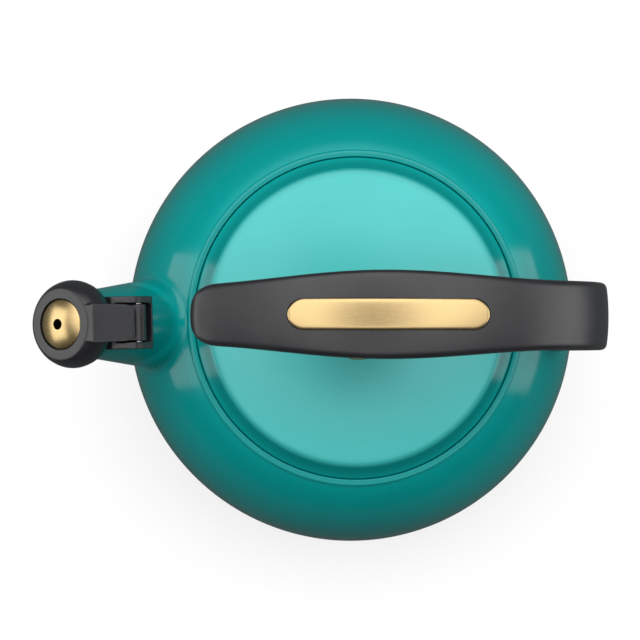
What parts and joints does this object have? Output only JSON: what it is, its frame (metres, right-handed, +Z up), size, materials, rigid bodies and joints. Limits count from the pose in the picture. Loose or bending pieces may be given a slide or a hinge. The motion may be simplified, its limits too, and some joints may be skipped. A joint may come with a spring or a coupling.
{
  "type": "stovetop whistling kettle",
  "caption": "Squat round enamelled kettle with a drop-in lid, a one-ended arched handle and a leaning spout closed by a flip-up whistle.",
  "frame": {"origin": "centre of the underside of the base, on the axis of the body", "axes": "+Z up, -X toward the spout, +X toward the root of the handle"},
  "size_m": [0.2322, 0.191, 0.1855],
  "materials": {
    "enamel": "glossy",
    "base_steel": "satin",
    "steel": "satin",
    "phenolic": "matte",
    "gold": "satin",
    "silicone": "matte"
  },
  "bodies": {
    "kettle": {"body_shell": "enamel", "base_pan": "base_steel", "spout": "enamel", "spout_lip": "steel", "whistle_saddle": "phenolic", "saddle_rivets": "steel", "hinge_pin": "steel", "handle_grip": "phenolic", "handle_plate": "gold", "handle_bracket": "steel", "handle_screws": "steel"},
    "lid": {"lid": "enamel", "lid_collar": "steel", "knob": "phenolic", "knob_ring": "gold", "knob_insert": "gold", "knob_screw": "steel", "knob_washer": "steel"},
    "whistle": {"whistle_cap": "phenolic", "whistle_disc_outer": "gold", "whistle_disc_inner": "steel", "whistle_seal": "silicone"}
  },
  "joints": [
    {"name": "whistle_flip", "type": "hinge", "parent": "kettle", "child": "whistle", "pos_m": [-0.08926, -0.00234, 0.11738], "axis": [-0.0262, 0.9997, 0], "range_deg": [0, 85]},
    {"name": "lid_lift", "type": "slide", "parent": "kettle", "child": "lid", "axis": [0, 0, 1], "range_m": [0, 0.038]}
  ]
}
